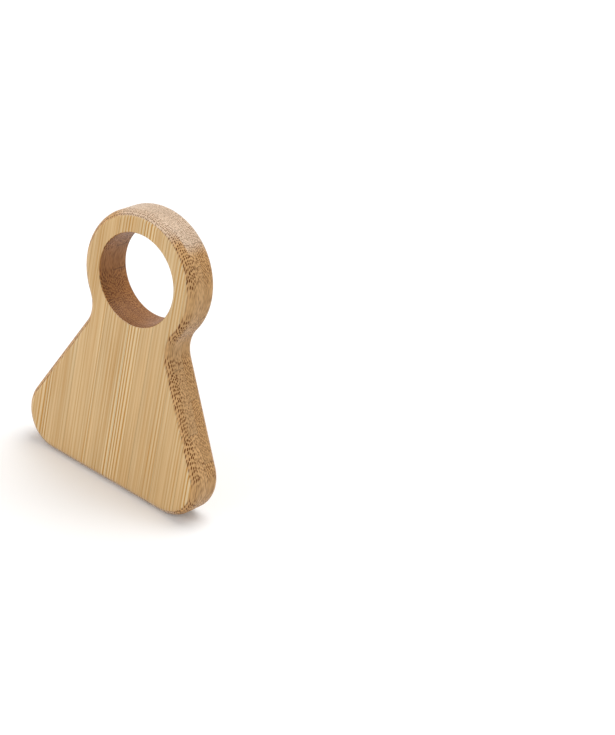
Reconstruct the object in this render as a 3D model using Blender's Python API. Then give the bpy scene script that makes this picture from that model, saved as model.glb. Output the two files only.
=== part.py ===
"""Holder for the neck of a lying bottle, in metres and +Z up.

One board of bamboo laths, glued in two plies and cut to a ring on a wide foot. The front
face looks towards -Y, the foot stands on z = 0, and x = 0 is the middle of the board.
"""
import math

import bmesh
import bpy
from mathutils import Vector

# Board
BOARD_THICKNESS = 0.0150
FOOT_WIDTH = 0.0869
FOOT_CORNER_RADIUS = 0.0150
SIDE_SLOPE = math.radians(27.6)
WAIST_RADIUS = 0.0118
EDGE_ROUND = 0.0036

# Ring and the hole for the neck
HOLE_RADIUS = 0.0180
HOLE_HEIGHT = 0.0866
HOLE_EDGE_BREAK = 0.0005
RING_WALL = 0.0086

# Laths and glue. A ply's joints lie as far out as these shares of the stretch they are in:
# within the hole and the waist, from there to the ring's side, and on to the foot's side
GLUE_LINE = 0.0001
FRONT_JOINT_shares = ([0, 0.64], [0.40], [0.47])
BACK_JOINT_shares = ([0.32, 0.96], [], [0.13, 0.81])

# How far blanks and the drill run past the board
OVERRUN = 0.003

# Fineness of the curves
ARC_STEP = math.radians(5)
ROUND_STEPS = 5

# Finish, as base colour, roughness and metallic
FRONT_BAMBOO = ((0.61, 0.40, 0.20), 0.50, 0.0)
BACK_BAMBOO = ((0.52, 0.32, 0.15), 0.55, 0.0)
LATH_TONE_shares = [0.00, 0.06, -0.05, 0.03, -0.02, 0.05, -0.04, 0.02, -0.01]

ring_radius = HOLE_RADIUS + RING_WALL
board_height = HOLE_HEIGHT + ring_radius
half_thickness = BOARD_THICKNESS / 2
half_width = FOOT_WIDTH / 2


def clear_scene():
    for old in list(bpy.data.objects):
        bpy.data.objects.remove(old, do_unlink=True)


def bamboo(name, finish, tone):
    colour, roughness, metallic = finish
    material = bpy.data.materials.new(name)
    material.use_nodes = True
    shader = material.node_tree.nodes["Principled BSDF"]
    toned = [channel * (1 + tone) for channel in colour]
    shader.inputs["Base Color"].default_value = (*toned, 1.0)
    shader.inputs["Roughness"].default_value = roughness
    shader.inputs["Metallic"].default_value = metallic
    return material


def add_object(name, shape):
    mesh = bpy.data.meshes.new(name)
    shape.to_mesh(mesh)
    shape.free()
    thing = bpy.data.objects.new(name, mesh)
    bpy.context.scene.collection.objects.link(thing)
    return thing


def as_cutter(thing):
    thing.hide_render = True
    thing.display_type = "WIRE"
    return thing


def arc(centre, radius, start, end):
    """Points in x and z along an arc, both ends included."""
    steps = max(1, round(abs(end - start) / ARC_STEP))
    angles = [start + (end - start) * step / steps for step in range(steps + 1)]
    return [centre + radius * Vector((math.cos(a), math.sin(a))) for a in angles]


def waist_centre(corner_centre, ring_centre):
    """Centre of the waist arc, which touches the straight side and the ring from outside."""
    outwards = Vector((math.cos(SIDE_SLOPE), math.sin(SIDE_SLOPE)))
    upwards = Vector((-math.sin(SIDE_SLOPE), math.cos(SIDE_SLOPE)))
    start = corner_centre + (FOOT_CORNER_RADIUS + WAIST_RADIUS) * outwards
    from_ring = start - ring_centre
    along = from_ring.dot(upwards)
    reach = (ring_radius + WAIST_RADIUS) ** 2 - from_ring.length_squared + along**2
    return start - (along + math.sqrt(reach)) * upwards


corner = Vector((half_width - FOOT_CORNER_RADIUS, FOOT_CORNER_RADIUS))
ring = Vector((0, HOLE_HEIGHT))
waist = waist_centre(corner, ring)
half_waist = waist.x - WAIST_RADIUS


def outline(inset):
    """The board's outline in x and z, moved inwards by inset, round from the foot's right corner."""
    towards_ring = math.atan2(ring.y - waist.y, ring.x - waist.x)
    right = arc(corner, FOOT_CORNER_RADIUS - inset, -math.pi / 2, SIDE_SLOPE)
    right += arc(waist, WAIST_RADIUS + inset, math.pi + SIDE_SLOPE, towards_ring)
    right += arc(ring, ring_radius - inset, towards_ring - math.pi, math.pi / 2)[1:]
    left = [Vector((-point.x, point.y)) for point in reversed(right[:-1])]
    return right + left


def loft(rings):
    """A closed solid through rings of points of one count, given as (points in x and z, y)."""
    shape = bmesh.new()
    loops = [[shape.verts.new((p.x, y, p.y)) for p in points] for points, y in rings]
    count = len(loops[0])
    for near, far in zip(loops, loops[1:]):
        for i in range(count):
            j = (i + 1) % count
            shape.faces.new((near[i], near[j], far[j], far[i]))
    shape.faces.new(reversed(loops[0]))
    shape.faces.new(loops[-1])
    bmesh.ops.recalc_face_normals(shape, faces=shape.faces)
    return shape


def board_form():
    """The whole board before it is drilled, with its outer edges rounded over."""
    turns = [math.pi / 2 * step / ROUND_STEPS for step in range(ROUND_STEPS + 1)]
    rounding = [(EDGE_ROUND * (1 - math.sin(a)), EDGE_ROUND * (1 - math.cos(a))) for a in turns]
    front = [(outline(inset), depth - half_thickness) for inset, depth in rounding]
    back = [(outline(inset), half_thickness - depth) for inset, depth in reversed(rounding)]
    return as_cutter(add_object("board_form", loft(front + back)))


def hole_drill():
    """The drill for the neck's hole, which also breaks the hole's two edges."""
    wide = HOLE_RADIUS + HOLE_EDGE_BREAK + OVERRUN
    straight = half_thickness - HOLE_EDGE_BREAK
    past = half_thickness + OVERRUN
    steps = [(wide, -past), (HOLE_RADIUS, -straight), (HOLE_RADIUS, straight), (wide, past)]
    rings = [(arc(ring, radius, 0, 2 * math.pi)[:-1], y) for radius, y in steps]
    return as_cutter(add_object("hole_drill", loft(rings)))


def blank(name, across, depth, height):
    """A sawn lath as a plain block, between two values each in x, y and z."""
    shape = bmesh.new()
    bmesh.ops.create_cube(shape, size=1)
    for vert in shape.verts:
        for axis, (low, high) in enumerate((across, depth, height)):
            vert.co[axis] = high if vert.co[axis] > 0 else low
    return add_object(name, shape)


def cut(lath, operation, tool):
    modifier = lath.modifiers.new(tool.name, "BOOLEAN")
    modifier.operation = operation
    modifier.solver = "EXACT"
    modifier.object = tool


def split_height(low, high):
    """Where the hole or the waist parts a lath in two, or None where it stays whole."""
    near, far = sorted((abs(low), abs(high)))
    if low < 0 < high:
        near = 0
    if far <= HOLE_RADIUS:
        return ring.y
    if half_waist <= near < ring_radius:
        return waist.y
    return None


def joint_places(shares):
    """Places in x of a ply's glue joints, the same left and right of the middle."""
    inner = min(HOLE_RADIUS, half_waist)
    outer = max(HOLE_RADIUS, half_waist)
    stretches = [(0, inner), (outer, ring_radius), (ring_radius, half_width)]
    places = set()
    for (low, high), taken in zip(stretches, shares):
        places |= {low + share * (high - low) for share in taken}
    return sorted(places | {-place for place in places})


def make_ply(label, joint_shares, depth, finish, form, drill):
    past = half_width + OVERRUN
    edges = [-past] + joint_places(joint_shares) + [past]
    for number, (left, right) in enumerate(zip(edges, edges[1:]), start=1):
        across = (left + GLUE_LINE / 2, right - GLUE_LINE / 2)
        parting = split_height(*across)
        name = f"{label}_lath_{number}"
        if parting is None:
            spans = {name: (-OVERRUN, board_height + OVERRUN)}
        else:
            spans = {
                f"{name}_foot": (-OVERRUN, parting),
                f"{name}_ring": (parting, board_height + OVERRUN),
            }
        tone = LATH_TONE_shares[number - 1]
        for piece, height in spans.items():
            lath = blank(piece, across, depth, height)
            cut(lath, "INTERSECT", form)
            cut(lath, "DIFFERENCE", drill)
            lath.data.materials.append(bamboo(f"{piece}_bamboo", finish, tone))
            lath.data.shade_smooth()
            lath.data.set_sharp_from_angle(angle=math.radians(40))


clear_scene()
form = board_form()
drill = hole_drill()
front_depth = (-half_thickness - OVERRUN, -GLUE_LINE / 2)
back_depth = (GLUE_LINE / 2, half_thickness + OVERRUN)
make_ply("front", FRONT_JOINT_shares, front_depth, FRONT_BAMBOO, form, drill)
make_ply("back", BACK_JOINT_shares, back_depth, BACK_BAMBOO, form, drill)
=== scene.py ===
import math
import random

import bpy
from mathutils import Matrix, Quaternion, Vector


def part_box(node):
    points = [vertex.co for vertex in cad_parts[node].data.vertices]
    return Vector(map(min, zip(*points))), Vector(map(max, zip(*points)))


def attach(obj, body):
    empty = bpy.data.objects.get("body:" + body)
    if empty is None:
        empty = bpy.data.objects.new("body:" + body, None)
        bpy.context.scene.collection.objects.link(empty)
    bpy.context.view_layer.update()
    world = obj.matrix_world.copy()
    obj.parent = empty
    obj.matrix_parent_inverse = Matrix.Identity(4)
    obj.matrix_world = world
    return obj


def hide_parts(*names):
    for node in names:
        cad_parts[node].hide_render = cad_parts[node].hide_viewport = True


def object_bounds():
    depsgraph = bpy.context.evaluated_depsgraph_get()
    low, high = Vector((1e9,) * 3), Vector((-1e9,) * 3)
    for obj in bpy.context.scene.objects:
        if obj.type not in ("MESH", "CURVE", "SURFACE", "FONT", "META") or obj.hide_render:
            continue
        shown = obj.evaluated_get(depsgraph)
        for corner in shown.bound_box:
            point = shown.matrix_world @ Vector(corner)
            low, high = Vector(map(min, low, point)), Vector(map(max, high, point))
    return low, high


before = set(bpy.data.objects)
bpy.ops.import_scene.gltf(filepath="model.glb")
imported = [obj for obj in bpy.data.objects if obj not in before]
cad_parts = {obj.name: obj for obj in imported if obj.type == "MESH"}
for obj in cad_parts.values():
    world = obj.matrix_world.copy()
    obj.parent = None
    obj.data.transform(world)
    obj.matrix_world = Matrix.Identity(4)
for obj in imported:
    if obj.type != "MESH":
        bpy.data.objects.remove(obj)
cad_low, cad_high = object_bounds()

# The camera stands where the photograph was taken from: to the right of the holder's front
# face and above it, turned a little about its own line of sight. All lengths are in metres.
camera_place = Vector((0.47636, -0.61567, 0.44672))
camera_aim = Vector((0.0817, -0.0075, 0.0873))
camera_roll = math.radians(11.35)
camera_lens_mm = 112.66
nearest_seen = 0.01

camera_data = bpy.data.cameras.new("camera")
camera_data.lens = camera_lens_mm
camera_data.clip_start = nearest_seen
camera = bpy.data.objects.new("camera", camera_data)
line_of_sight = camera_aim - camera_place
rolled = Quaternion((0, 0, 1), camera_roll)
camera.location = camera_place
camera.rotation_mode = "QUATERNION"
camera.rotation_quaternion = line_of_sight.to_track_quat("-Z", "Y") @ rolled
bpy.context.scene.collection.objects.link(camera)
bpy.context.scene.camera = camera


# The board is pressed from bamboo laths in two plies and then sawn round a template: a ring on
# a wide foot with round corners and hollow waists. A router rounds over the outer edge and
# only breaks the edge of the hole. All the laths below are cut out of this form.
board_thickness = cad_high[1] - cad_low[1]
half_width = (cad_high[0] - cad_low[0]) / 2
corner_radius = 0.0150
side_slope = math.radians(27.6)
waist_radius = 0.0118
ring_radius = 0.0266
hole_radius = 0.0180
hole_height = cad_high[2] - ring_radius
edge_round = 0.0036
edge_round_steps = 12
hole_edge_break = 0.0005
hole_edge_steps = 5
hole_points = 180
face_margin = 0.0004
outline_step = math.radians(2)
weld_distance = 0.000001


def arc(centre, radius, start, end, count):
    angles = [start + (end - start) * index / count for index in range(count + 1)]
    return [centre + radius * Vector((math.cos(a), math.sin(a))) for a in angles]


def outline_arc(centre, radius, start, end):
    return arc(centre, radius, start, end, round(abs(end - start) / outline_step))


def template_outline():
    """The outline drawn flat, with Y for height, anticlockwise from the foot's right corner."""
    corner = Vector((half_width - corner_radius, corner_radius))
    ring = Vector((0, hole_height))
    outwards = Vector((math.cos(side_slope), math.sin(side_slope)))
    upwards = Vector((-math.sin(side_slope), math.cos(side_slope)))
    start = corner + (corner_radius + waist_radius) * outwards
    along = (start - ring).dot(upwards)
    reach = (ring_radius + waist_radius) ** 2 - (start - ring).length_squared + along**2
    waist = start - (along + math.sqrt(reach)) * upwards
    to_ring = math.atan2(ring.y - waist.y, ring.x - waist.x)
    right = outline_arc(corner, corner_radius, -math.pi / 2, side_slope)
    right += outline_arc(waist, waist_radius, math.pi + side_slope, to_ring)
    right += outline_arc(ring, ring_radius, to_ring - math.pi, math.pi / 2)[1:]
    return right + [Vector((-point.x, point.y)) for point in reversed(right[:-1])]


def cutter_profile(radius, steps):
    """The edge from face to face: X is outwards from the outline, and Y goes through the board."""
    half = board_thickness / 2
    inner = -radius - face_margin
    low = arc(Vector((-radius, radius - half)), radius, -math.pi / 2, 0, steps)
    high = arc(Vector((-radius, half - radius)), radius, 0, math.pi / 2, steps)
    return [Vector((inner, -half))] + low + high + [Vector((inner, half))]


def drawn_curve(name, points, closed):
    data = bpy.data.curves.new(name, "CURVE")
    data.dimensions = "3D"
    spline = data.splines.new("POLY")
    spline.points.add(len(points) - 1)
    for target, point in zip(spline.points, points):
        target.co = (point.x, point.y, 0, 1)
    spline.use_cyclic_u = closed
    drawing = bpy.data.objects.new(name, data)
    bpy.context.scene.collection.objects.link(drawing)
    return drawing


def wired(tree, kind, values=None, give=None, **settings):
    """Adds a node, fills its inputs by place or by name, and returns one of its outputs."""
    node = tree.nodes.new(kind)
    for setting, value in settings.items():
        setattr(node, setting, value)
    shown = [socket for socket in node.inputs if socket.enabled]
    for key, value in (values or {}).items():
        socket = shown[key] if isinstance(key, int) else node.inputs[key]
        for source in value if isinstance(value, list) else [value]:
            if isinstance(source, bpy.types.NodeSocket):
                tree.links.new(source, socket)
            else:
                socket.default_value = source
    if give:
        return node.outputs[give]
    return next((socket for socket in node.outputs if socket.enabled), None)


def geometry_tree(name, inputs):
    """An empty tree for a modifier, and the outputs of the node that hands in its inputs."""
    tree = bpy.data.node_groups.new(name, "GeometryNodeTree")
    tree.is_modifier = True
    for label, kind in inputs.items():
        tree.interface.new_socket(label, in_out="INPUT", socket_type=f"NodeSocket{kind}")
    tree.interface.new_socket("Geometry", in_out="OUTPUT", socket_type="NodeSocketGeometry")
    return tree, tree.nodes.new("NodeGroupInput").outputs


def end_tree(tree, geometry, material):
    real = wired(tree, "GeometryNodeRealizeInstances", {"Geometry": geometry})
    values = {"Geometry": real, "Material": material}
    finished = wired(tree, "GeometryNodeSetMaterial", values)
    wired(tree, "NodeGroupOutput", {"Geometry": finished})


def made_by(tree, name, values):
    """The plain mesh that a tree makes from these values, on an object of that name."""
    blank = bpy.data.objects.new(f"{name}_blank", bpy.data.meshes.new(f"{name}_blank"))
    bpy.context.scene.collection.objects.link(blank)
    modifier = blank.modifiers.new(tree.name, "NODES")
    modifier.node_group = tree
    for item in tree.interface.items_tree:
        if item.in_out == "INPUT":
            modifier[item.identifier] = values[item.name]
    grown = blank.evaluated_get(bpy.context.evaluated_depsgraph_get())
    mesh = bpy.data.meshes.new_from_object(grown)
    mesh.name = name
    bpy.data.objects.remove(blank)
    thing = bpy.data.objects.new(name, mesh)
    bpy.context.scene.collection.objects.link(thing)
    return thing


def board_tree():
    """Sweeps the cutters round the template and the hole, and closes both faces."""
    inputs = {
        "Template": "Object",
        "Edge Cutter": "Object",
        "Hole Cutter": "Object",
        "Thickness": "Float",
        "Edge Inset": "Float",
        "Hole Radius": "Float",
        "Hole Height": "Float",
        "Hole Inset": "Float",
        "Hole Points": "Int",
        "Material": "Material",
    }
    tree, given = geometry_tree("pressed_board", inputs)

    def drawing(label):
        return wired(tree, "GeometryNodeObjectInfo", {"Object": given[label]}, "Geometry")

    def flat(curve):
        return wired(tree, "GeometryNodeSetCurveNormal", {"Curve": curve}, mode="Z_UP")

    def scaled(value, factor):
        return wired(tree, "ShaderNodeMath", {0: value, 1: factor}, operation="MULTIPLY")

    def moved(geometry, x=0.0, y=0.0, z=0.0):
        place = wired(tree, "ShaderNodeCombineXYZ", {"X": x, "Y": y, "Z": z})
        return wired(tree, "GeometryNodeTransform", {"Geometry": geometry, "Translation": place})

    def drawn_in(curve, inset):
        values = {0: wired(tree, "GeometryNodeInputNormal"), 1: scaled(inset, -1.0)}
        offset = wired(tree, "ShaderNodeVectorMath", values, operation="SCALE")
        return wired(tree, "GeometryNodeSetPosition", {"Geometry": curve, "Offset": offset})

    def swept(curve, cutter):
        values = {"Curve": curve, "Profile Curve": drawing(cutter)}
        return wired(tree, "GeometryNodeCurveToMesh", values)

    def joined(*parts):
        return wired(tree, "GeometryNodeJoinGeometry", {"Geometry": list(parts)})

    outline = flat(drawing("Template"))
    sizes = {"Resolution": given["Hole Points"], "Radius": given["Hole Radius"]}
    circle = wired(tree, "GeometryNodeCurvePrimitiveCircle", sizes, "Curve")
    clockwise = wired(tree, "GeometryNodeReverseCurve", {"Curve": circle})
    hole = flat(moved(clockwise, y=given["Hole Height"]))
    borders = joined(drawn_in(outline, given["Edge Inset"]), drawn_in(hole, given["Hole Inset"]))
    face = wired(tree, "GeometryNodeFillCurve", {"Curve": borders}, mode="NGONS")
    turned_face = wired(tree, "GeometryNodeFlipFaces", {"Mesh": face})
    shell = joined(
        swept(outline, "Edge Cutter"),
        swept(hole, "Hole Cutter"),
        moved(face, z=scaled(given["Thickness"], 0.5)),
        moved(turned_face, z=scaled(given["Thickness"], -0.5)),
    )
    closed = wired(tree, "GeometryNodeMergeByDistance", {"Geometry": shell, "Distance": weld_distance})
    values = {"Geometry": closed, "Rotation": (math.pi / 2, 0, 0)}
    end_tree(tree, wired(tree, "GeometryNodeTransform", values), given["Material"])
    return tree


template = drawn_curve("template", template_outline(), True)
edge_cutter = drawn_curve("edge_cutter", cutter_profile(edge_round, edge_round_steps), False)
hole_cutter = drawn_curve("hole_cutter", cutter_profile(hole_edge_break, hole_edge_steps), False)
sawn_wood = bpy.data.materials.new("sawn_wood")
board = made_by(
    board_tree(),
    "board",
    {
        "Template": template,
        "Edge Cutter": edge_cutter,
        "Hole Cutter": hole_cutter,
        "Thickness": board_thickness,
        "Edge Inset": edge_round + face_margin,
        "Hole Radius": hole_radius,
        "Hole Height": hole_height,
        "Hole Inset": hole_edge_break + face_margin,
        "Hole Points": hole_points,
        "Material": sawn_wood,
    },
)


# The front ply is eight bamboo laths glued edge to edge, with the open grain of the stalk's
# inside on the face. Each is sawn from the board, so the shape runs on from lath to lath. The
# oiled wood shows fine upright lines on a face and dots of fibre on every cut.
glue_line = 0.0001
saw_margin = 0.0005
beyond_the_board = 1.0
stalk_start = (0.5, 3.0)
sharp_edge = math.radians(30)


def lath_tree():
    """Saws a lath from the board with a block, and notes where in its stalk each point lies."""
    inputs = {
        "Board": "Object",
        "Left": "Float",
        "Near": "Float",
        "Bottom": "Float",
        "Right": "Float",
        "Far": "Float",
        "Top": "Float",
        "Stalk Place": "Vector",
        "Stalk Size": "Float",
        "Left Joint": "Float",
        "Right Joint": "Float",
        "Tone": "Float",
        "Material": "Material",
    }
    tree, given = geometry_tree("sawn_lath", inputs)

    def corner(x, y, z):
        return wired(tree, "ShaderNodeCombineXYZ", {0: given[x], 1: given[y], 2: given[z]})

    def joint_place(label):
        return wired(tree, "ShaderNodeCombineXYZ", {0: given[label]})

    def vectors(operation, one, other):
        return wired(tree, "ShaderNodeVectorMath", {0: one, 1: other}, operation=operation)

    def noted(geometry, name, value, kind="FLOAT_VECTOR"):
        values = {"Geometry": geometry, "Name": name, "Value": value}
        return wired(tree, "GeometryNodeStoreNamedAttribute", values, data_type=kind)

    low = corner("Left", "Near", "Bottom")
    high = corner("Right", "Far", "Top")
    middle = vectors("SCALE", vectors("ADD", low, high), 0.5)
    cube = wired(tree, "GeometryNodeMeshCube", {"Size": vectors("SUBTRACT", high, low)}, "Mesh")
    block = wired(tree, "GeometryNodeTransform", {"Geometry": cube, "Translation": middle})
    board_mesh = wired(tree, "GeometryNodeObjectInfo", {"Object": given["Board"]}, "Geometry")
    values = {"Mesh 2": [board_mesh, block]}
    settings = {"operation": "INTERSECT", "solver": "EXACT"}
    sawn = wired(tree, "GeometryNodeMeshBoolean", values, "Mesh", **settings)
    place = wired(tree, "GeometryNodeInputPosition")
    from_middle = vectors("SUBTRACT", place, given["Stalk Place"])
    in_stalk = vectors("SCALE", from_middle, given["Stalk Size"])
    from_left = vectors("SUBTRACT", place, joint_place("Left Joint"))
    to_right = vectors("SUBTRACT", joint_place("Right Joint"), place)
    noted_lath = noted(sawn, "stalk", in_stalk)
    noted_lath = noted(noted_lath, "from_left_joint", from_left)
    noted_lath = noted(noted_lath, "to_right_joint", to_right)
    noted_lath = noted(noted_lath, "tone", given["Tone"], "FLOAT")
    end_tree(tree, noted_lath, given["Material"])
    return tree


# Unevenness in the wood, in turns per millimetre across the lath, through it and along it
grain_turns = {
    "sway": (0.05, 0.05, 0.02),
    "patches": (1.7, 1.7, 0.45),
    "specks": (4.5, 4.5, 0.1),
    "line wander": (0.35, 0.2, 0.006),
    "line strength": (0.15, 0.2, 0.02),
    "fibres": (2.0, 0.6, 0.015),
    "fine fibres": (4.5, 2.0, 0.06),
    "bands": (0.25, 0.1, 0.01),
    "hue": (0.2, 0.1, 0.01),
    "clouds": (0.12, 0.12, 0.03),
}
finely_broken = 2.0
to_mm = 1000.0
almost_one = 0.99
stripe_span = 100.0
stripe_fade = 1.0
strongest_stripe = 5.0


def bamboo(name, look):
    """Pressed bamboo: pale wood with bundles of fibre along Z, dots on a cut and lines on a face."""
    material = bpy.data.materials.new(name)
    material.use_nodes = True
    tree = material.node_tree
    shader = tree.nodes["Principled BSDF"]

    def maths(operation, *values):
        return wired(tree, "ShaderNodeMath", dict(enumerate(values)), operation=operation)

    def total(*values):
        result = values[0]
        for value in values[1:]:
            result = maths("ADD", result, value)
        return result

    def scaled(value, factor):
        return maths("MULTIPLY", value, factor)

    def off_middle(value):
        return maths("SUBTRACT", value, 0.5)

    def at_least(low, value):
        """Goes from low to one while the value goes from nought to one."""
        return total(low, scaled(value, 1 - low))

    def between(value, low, high, start=0.0, end=1.0):
        """Goes smoothly from start to end while the value goes from low to high."""
        values = {0: value, 1: low, 2: high, 3: start, 4: end}
        return wired(tree, "ShaderNodeMapRange", values, interpolation_type="SMOOTHSTEP")

    def parts(vector):
        split = tree.nodes.new("ShaderNodeSeparateXYZ")
        tree.links.new(vector, split.inputs[0])
        return split.outputs

    def mixed(factor, one, other):
        return wired(tree, "ShaderNodeMix", {0: factor, 1: one, 2: other}, data_type="RGBA")

    def vector_scaled(vector, factor):
        return wired(tree, "ShaderNodeVectorMath", {0: vector, "Scale": factor}, operation="SCALE")

    def noted(attribute, give="Vector"):
        return wired(tree, "ShaderNodeAttribute", give=give, attribute_name=attribute)

    # Where the point lies in its stalk, in millimetres, and which way the surface was cut
    across, depth, along = parts(vector_scaled(noted("stalk"), to_mm))
    _, front, up = parts(wired(tree, "ShaderNodeTexCoord", give="Normal"))
    on_face = between(maths("ABSOLUTE", front), *look["face_limits"])
    front_share = scaled(maths("POWER", front, 2.0), almost_one)
    edgeways = maths("SQRT", maths("SUBTRACT", 1.0, front_share))
    across_grain = maths("DIVIDE", maths("ABSOLUTE", up), edgeways)
    end_cut = between(across_grain, *look["end_cut_limits"])
    coarse_end = look["coarse_depth"] + look["coarse_fade"]
    coarse = between(depth, look["coarse_depth"], coarse_end, 1.0, 0.0)
    # Cuts square across the grain, such as the ring's top and the foot's underside, are painted paler:
    # a painted sheen, held back where the grain is coarse
    sheen_squareness = maths("SUBTRACT", across_grain, scaled(coarse, look["coarse_sheen_lag"]))
    square_sheen_mask = between(sheen_squareness, *look["square_sheen_limits"])

    x_place, y_place, z_place = parts(wired(tree, "ShaderNodeTexCoord", give="Object"))
    # How far the point lies from the bore's wall; within a thin skin the wall gets painted shade and
    # painted warm bounce light, darker and redder than other cuts
    x_off = maths("POWER", x_place, 2.0)
    z_off = maths("POWER", maths("SUBTRACT", z_place, hole_height), 2.0)
    from_centre = maths("SQRT", total(x_off, z_off))
    from_bore = scaled(maths("SUBTRACT", from_centre, hole_radius), to_mm)
    bore_shade_mask = between(from_bore, *look["bore_shade_skin"], 1.0, 0.0)

    def grain(kind, detail=0.0, give="Fac"):
        ways = zip((across, depth, along), grain_turns[kind])
        turned = [scaled(way, turns) for way, turns in ways]
        place = wired(tree, "ShaderNodeCombineXYZ", dict(enumerate(turned)))
        values = {"Vector": place, "Scale": 1.0, "Detail": detail}
        return wired(tree, "ShaderNodeTexNoise", values, give)

    def uneven(kind, amount, detail=0.0):
        return scaled(off_middle(grain(kind, detail)), amount)

    # The bundles stand in staggered rows, closer together towards the outside of the stalk
    sway, drift, _ = parts(grain("sway", finely_broken, "Color"))
    row_depth = total(depth, scaled(off_middle(drift), look["drift"]))
    narrowing = maths("SUBTRACT", 1.0, scaled(row_depth, look["taper"]))
    narrowing = maths("MAXIMUM", narrowing, look["narrowest"])
    rows = maths("LOGARITHM", narrowing, math.e)
    row = total(scaled(rows, -1 / (look["taper"] * look["spacing"])), 0.5)
    swayed = total(across, scaled(off_middle(sway), look["sway"]))
    column_width = scaled(narrowing, look["spacing"] * look["column_share"])
    skewed = total(maths("DIVIDE", swayed, column_width), scaled(row, 0.5))
    disorder = total(look["disorder"], scaled(coarse, -look["coarse_order"] * look["disorder"]))
    cell = wired(tree, "ShaderNodeCombineXYZ", {0: skewed, 1: row})
    values = {"Vector": cell, "Scale": 1.0, "Randomness": disorder}
    centres = wired(tree, "ShaderNodeTexVoronoi", values, "Position", voronoi_dimensions="2D").node
    centre_column, centre_row, _ = parts(centres.outputs["Position"])
    own_strength, own_size, _ = parts(centres.outputs["Color"])
    rows_off = maths("SUBTRACT", centre_row, row)
    columns_off = maths("SUBTRACT", centre_column, skewed)
    columns_off = maths("SUBTRACT", columns_off, scaled(rows_off, 0.5))
    columns_off = maths("MULTIPLY", columns_off, total(1.0, scaled(coarse, look["coarse_flat"])))
    squares = total(maths("POWER", columns_off, 2.0), maths("POWER", rows_off, 2.0))
    reach = total(look["reach"], scaled(own_size, look["reach_spread"]))
    reach = total(reach, scaled(coarse, look["coarse_swell"]))
    inside = maths("SUBTRACT", 1.0, maths("DIVIDE", maths("SQRT", squares), reach))
    strength = at_least(look["least_strength"], own_strength)
    bundle = maths("MULTIPLY", between(inside, 0.0, look["soft_edge"]), strength)

    # On a cut the bundles are dark dots, weak where the wood is fine or cut along the grain
    by_depth = at_least(look["fine_contrast"], coarse)
    by_cut = at_least(look["side_contrast"], end_cut)
    dots = maths("MULTIPLY", bundle, maths("MULTIPLY", by_depth, by_cut))
    coarse_cut = maths("MULTIPLY", coarse, end_cut)
    coarse_dots = scaled(maths("MULTIPLY", dots, coarse_cut), look["coarse_gain"])
    patch_level = total(look["patches"], scaled(coarse, -look["coarse_calm"] * look["patches"]))
    patches = maths("MULTIPLY", uneven("patches", 1.0), patch_level)
    mottle = total(patches, uneven("specks", look["specks"], finely_broken))
    coarse_shade = scaled(coarse, look["coarse_shade"])
    cut_shade = total(look["cut_shade"], coarse_shade, dots, coarse_dots, mottle)
    slanting_colour = mixed(cut_shade, look["cut_pale"], look["cut_dark"])
    # A square cut's paler colour is a painted sheen; its dots are the grain's
    square_sheen_colour = mixed(cut_shade, look["square_sheen_pale"], look["square_sheen_dark"])
    # The bore's wall: a darker, redder colour that is painted shade and painted warm bounce light,
    # with the grain's dots on it
    bore_shade_colour = mixed(cut_shade, look["bore_shade_pale"], look["bore_shade_dark"])
    sawn_colour = mixed(square_sheen_mask, slanting_colour, square_sheen_colour)
    cut_colour = mixed(bore_shade_mask, sawn_colour, bore_shade_colour)

    # On a face they are long lines, stronger in some stripes than in others
    ramp = tree.nodes.new("ShaderNodeValToRGB")
    ramp.color_ramp.interpolation = "EASE"
    plain_share = 1 / strongest_stripe
    for end in (ramp.color_ramp.elements[0], ramp.color_ramp.elements[-1]):
        end.color = (plain_share, plain_share, plain_share, 1)
    stops = []
    for middle, half, strength in look["stripes"]:
        share = strength / strongest_stripe
        stops += [(middle - half - stripe_fade, plain_share), (middle - half, share)]
        stops += [(middle + half, share), (middle + half + stripe_fade, plain_share)]
    for place, share in stops:
        stop = ramp.color_ramp.elements.new(0.5 + place / stripe_span)
        stop.color = (share, share, share, 1)
    tree.links.new(total(0.5, scaled(x_place, to_mm / stripe_span)), ramp.inputs[0])
    shown_share = wired(tree, "ShaderNodeRGBToBW", {0: ramp.outputs["Color"]})
    stripe = scaled(shown_share, strongest_stripe)
    wander = uneven("line wander", look["line_wander"])
    turn = total(scaled(across, 1 / look["line_spacing"]), wander)
    wave = maths("SINE", scaled(turn, math.tau))
    line = between(wave, *look["line_profile"])
    varied = uneven("line strength", look["line_spread"] * look["line_contrast"])
    line_level = total(look["line_contrast"], varied)
    lines = maths("MULTIPLY", maths("MULTIPLY", line, line_level), stripe)
    fibres = total(
        uneven("fibres", look["fibres"]),
        uneven("fine fibres", look["fine_fibres"], finely_broken),
    )
    bands = uneven("bands", look["bands"])
    bundle_lines = scaled(maths("SUBTRACT", bundle, look["mean_bundle"]), look["bundle_lines"])
    face_shade = total(0.5, lines, fibres, bands, bundle_lines)
    hue = between(grain("hue"), *look["hue_limits"])
    face_pale = mixed(hue, look["face_pale"], look["face_pale_cool"])
    face_colour = mixed(face_shade, face_pale, look["face_dark"])

    # Each lath has its own tone, and a thin darker line of glue marks every joint
    colour = mixed(on_face, cut_colour, face_colour)
    level = total(1.0, noted("tone", "Fac"), uneven("clouds", look["clouds"]))
    left, _, _ = parts(noted("from_left_joint"))
    right, _, _ = parts(noted("to_right_joint"))
    to_joint = maths("MINIMUM", maths("MINIMUM", left, right), maths("ABSOLUTE", y_place))
    glue = between(to_joint, look["glue_core"] * glue_line, glue_line, look["glue_shade"], 1.0)
    toned = vector_scaled(colour, maths("MULTIPLY", level, glue))
    tree.links.new(toned, shader.inputs["Base Color"])

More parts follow.
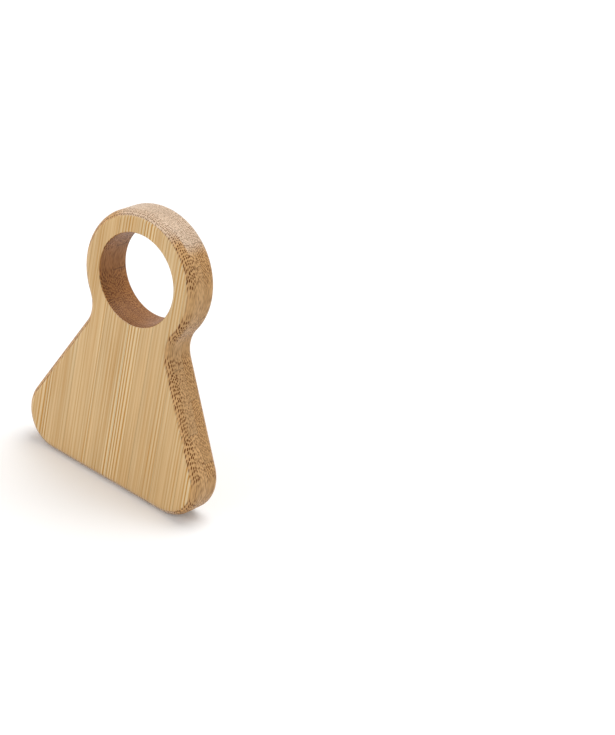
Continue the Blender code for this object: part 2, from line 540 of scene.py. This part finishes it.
    rough_bundles = scaled(bundle, look["rough_bundles"])
    rough = total(look["roughness"], rough_bundles, scaled(mottle, look["rough_mottle"]))
    tree.links.new(rough, shader.inputs["Roughness"])
    shader.inputs["IOR"].default_value = look["ior"]
    shader.inputs["Specular IOR Level"].default_value = look["specular"]
    relief = maths("SUBTRACT", scaled(fibres, look["fibre_relief"]), scaled(dots, look["dot_relief"]))
    height = scaled(relief, 1 / to_mm)
    bump = {"Strength": look["bump"], "Distance": 1.0, "Height": height}
    tree.links.new(wired(tree, "ShaderNodeBump", bump), shader.inputs["Normal"])
    return material


saw = lath_tree()


def sawn_laths(ply, coarse_side, tones, stalk_sizes, seed, finish):
    """The laths of one ply, each in the place of the frame's node of that name."""
    chance = random.Random(seed)
    names = sorted(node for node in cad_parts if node.startswith(f"{ply}_lath"))
    places = {}
    joints = {}
    for name in names:
        number = int(name.split("_")[2])
        low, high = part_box(name)
        left = low[0] - glue_line / 2
        near = low[1] - glue_line / 2
        right = high[0] + glue_line / 2
        far = high[1] + glue_line / 2
        if number not in places:
            left_joint = left if number > 1 else -beyond_the_board
            right_joint = right if number < len(tones) else beyond_the_board
            places[number] = ((left + right) / 2, coarse_side, -chance.uniform(*stalk_start))
            joints[number] = (left_joint, right_joint)
        piece = made_by(
            saw,
            f"bamboo_{name}",
            {
                "Board": board,
                "Left": left,
                "Near": near,
                "Bottom": low[2] - saw_margin,
                "Right": right,
                "Far": far,
                "Top": high[2] + saw_margin,
                "Stalk Place": places[number],
                "Stalk Size": 1 / stalk_sizes[number - 1],
                "Left Joint": joints[number][0],
                "Right Joint": joints[number][1],
                "Tone": tones[number - 1],
                "Material": finish,
            },
        )
        piece.data.shade_smooth()
        piece.data.set_sharp_from_angle(angle=sharp_edge)
        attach(piece, "root")
        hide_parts(name)


# The look of the oiled wood, with its lengths in millimetres
front_look = {
    # Where a surface turns into a face, an end cut, a square cut with its painted sheen, or the wall
    # of the bore with its painted shade
    "face_limits": (0.88, 0.95),
    "end_cut_limits": (0.10, 0.46),
    "square_sheen_limits": (0.62, 0.79),
    "bore_shade_skin": (0.05, 0.35),
    # The bundles of fibre: their rows and columns, then their own size and strength
    "spacing": 0.70,
    "column_share": 1.15,
    "taper": 0.068,
    "narrowest": 0.2,
    "disorder": 0.8,
    "sway": 1.2,
    "drift": 1.2,
    "reach": 0.36,
    "reach_spread": 0.13,
    "soft_edge": 0.35,
    "least_strength": 0.7,
    # The open grain near the stalk's inside, and how it differs from the rest
    "coarse_depth": 2.5,
    "coarse_fade": 0.9,
    "coarse_order": 0.55,
    "coarse_flat": 0.25,
    "coarse_swell": -0.02,
    "coarse_gain": 1.15,
    "coarse_shade": 0.07,
    "coarse_calm": 0.5,
    # How far the painted sheen on square cuts is held back where the grain is coarse
    "coarse_sheen_lag": 0.15,
    # Dots and colours on a cut, with the painted sheen of a square cut and the painted shade and warm
    # bounce light of the bore
    "fine_contrast": 0.68,
    "side_contrast": 0.3,
    "patches": 1.2,
    "specks": 0.25,
    "cut_shade": 0.08,
    "cut_pale": (0.72, 0.425, 0.18, 1),
    "cut_dark": (0.14, 0.038, 0.0005, 1),
    # Painted sheen on square cuts: a paler colour, with the grain's dots on it
    "square_sheen_pale": (0.81, 0.61, 0.435, 1),
    "square_sheen_dark": (0.24, 0.125, 0.06, 1),
    # Painted shade and painted warm bounce light on the bore's wall
    "bore_shade_pale": (0.46, 0.20, 0.055, 1),
    "bore_shade_dark": (0.12, 0.03, 0.001, 1),
    # Lines and colours on a face
    "line_spacing": 1.45,
    "line_wander": 0.65,
    "line_profile": (-0.6, 1.0, -0.9, 1.1),
    "line_contrast": 0.10,
    "line_spread": 2.0,
    # Middle, half width and strength of each stripe of bolder lines, from the holder's middle
    "stripes": [
        (-35.2, 2.2, 4.4),
        (-11.2, 1.4, 2.6),
        (-6.6, 1.2, 2.6),
        (2.0, 3.6, 4.1),
        (20.2, 1.2, 2.3),
        (33.2, 2.6, 2.1),
        (41.0, 3.2, 4.6),
    ],
    "fibres": 0.6,
    "fine_fibres": 0.5,
    "bands": 0.5,
    "mean_bundle": 0.3,
    "bundle_lines": 0.12,
    "hue_limits": (0.35, 0.65),
    "face_pale": (0.80, 0.60, 0.34, 1),
    "face_pale_cool": (0.77, 0.61, 0.365, 1),
    "face_dark": (0.53, 0.25, 0.045, 1),
    # Tone, glue and gloss
    "clouds": 0.12,
    "glue_core": 0.3,
    "glue_shade": 0.6,
    "roughness": 0.42,
    "rough_bundles": 0.08,
    "rough_mottle": 0.3,
    "ior": 1.46,
    "specular": 0.3,
    "fibre_relief": 0.007,
    "dot_relief": 0.015,
    "bump": 0.6,
}
front_tones = [0.02, 0.00, 0.015, -0.01, 0.01, -0.02, 0.0, 0.02]
front_sizes = [1.1, 0.96, 1.04, 1.0, 0.94, 1.05, 0.96, 1.1]
front_seed = 11
front_finish = bamboo("front_bamboo_oiled", front_look)
sawn_laths("front", cad_low[1], front_tones, front_sizes, front_seed, front_finish)


# The back ply is nine bamboo laths, glued on with their joints between the front ply's and with
# the fine, closed grain of the stalk's outside on the back. Its wood is a little redder and its
# dots are smaller. The template, the cutters and the uncut board are put away after it.
back_look = {
    **front_look,
    "spacing": 0.56,
    "taper": 0.055,
    "coarse_flat": 0.0,
    "coarse_swell": 0.0,
    "coarse_gain": 0.0,
    "coarse_shade": 0.0,
    "coarse_sheen_lag": 0.0,
    "fine_contrast": 0.8,
    "line_spacing": 1.1,
    "line_contrast": 0.15,
    "stripes": [(-28, 3, 1.5), (8, 2.4, 1.5), (31, 4, 1.5)],
    "cut_pale": (0.70, 0.40, 0.155, 1),
    "cut_dark": (0.15, 0.040, 0.001, 1),
}
back_tones = [0.01, -0.015, 0.02, 0.0, -0.02, 0.015, -0.01, 0.01, 0.0]
back_sizes = [1.0, 1.08, 0.94, 1.02, 0.96, 1.05, 1.0, 0.93, 1.06]
back_seed = 23
ply_joint = 0.0
back_finish = bamboo("back_bamboo_oiled", back_look)
sawn_laths("back", ply_joint, back_tones, back_sizes, back_seed, back_finish)

for helper in (template, edge_cutter, hole_cutter, board):
    bpy.data.objects.remove(helper)


# A plain white floor and a white surround, with one broad lamp overhead, a little behind, and a
# softer one low at the front left, as round the object in the studio. The floor and surround
# are pure white only where they are seen, and the floor keeps the soft shadow.
floor_reach = 4.0
floor_drop = 0.00005
floor_bounce = (0.7, 0.7, 0.7, 1)
floor_glow = 0.05
white = (1, 1, 1, 1)
surround_light = 0.50
surround_seen = 1.0
lamps = {
    "overhead": {"from": (0.04, 0.28, 0.95), "strength": 1.6, "spread": 45},
    "front_fill": {"from": (-0.35, -0.92, 0.18), "strength": 1.35, "spread": 60},
}


def seen_ray(tree):
    """One for a ray that comes from the camera, a mirror or a glass, and nought for any other."""
    rays = tree.nodes.new("ShaderNodeLightPath").outputs
    either = {0: rays["Is Camera Ray"], 1: rays["Is Glossy Ray"]}
    seen = wired(tree, "ShaderNodeMath", either, operation="MAXIMUM")
    either = {0: seen, 1: rays["Is Transmission Ray"]}
    return wired(tree, "ShaderNodeMath", either, operation="MAXIMUM")


floor_mesh = bpy.data.meshes.new("floor")
corners = [(-1, -1), (1, -1), (1, 1), (-1, 1)]
floor_points = [(x * floor_reach, y * floor_reach, -floor_drop) for x, y in corners]
floor_mesh.from_pydata(floor_points, [], [(0, 1, 2, 3)])
floor = bpy.data.objects.new("floor", floor_mesh)
bpy.context.scene.collection.objects.link(floor)
floor_paint = bpy.data.materials.new("floor_white")
floor_paint.use_nodes = True
tree = floor_paint.node_tree
tree.nodes.clear()
seen = seen_ray(tree)
unseen_paint = wired(tree, "ShaderNodeBsdfDiffuse", {"Color": floor_bounce})
seen_paint = wired(tree, "ShaderNodeBsdfDiffuse", {"Color": white})
paint = wired(tree, "ShaderNodeMixShader", {0: seen, 1: unseen_paint, 2: seen_paint})
glow_strength = wired(tree, "ShaderNodeMath", {0: seen, 1: floor_glow}, operation="MULTIPLY")
glow = wired(tree, "ShaderNodeEmission", {"Color": white, "Strength": glow_strength})
surface = wired(tree, "ShaderNodeAddShader", {0: paint, 1: glow})
wired(tree, "ShaderNodeOutputMaterial", {"Surface": surface})
floor_mesh.materials.append(floor_paint)

world = bpy.data.worlds.new("surround")
bpy.context.scene.world = world
world.use_nodes = True
tree = world.node_tree
tree.nodes.clear()
levels = {0: seen_ray(tree), 1: surround_light, 2: surround_seen}
strength = wired(tree, "ShaderNodeMix", levels)
surround = wired(tree, "ShaderNodeBackground", {"Color": white, "Strength": strength})
wired(tree, "ShaderNodeOutputWorld", {"Surface": surround})

for name, lamp in lamps.items():
    lamp_data = bpy.data.lights.new(name, "SUN")
    lamp_data.energy = lamp["strength"]
    lamp_data.angle = math.radians(lamp["spread"])
    lamp_object = bpy.data.objects.new(name, lamp_data)
    lamp_object.rotation_euler = (-Vector(lamp["from"])).to_track_quat("-Z", "Y").to_euler()
    bpy.context.scene.collection.objects.link(lamp_object)

bpy.context.scene.view_settings.view_transform = "Standard"
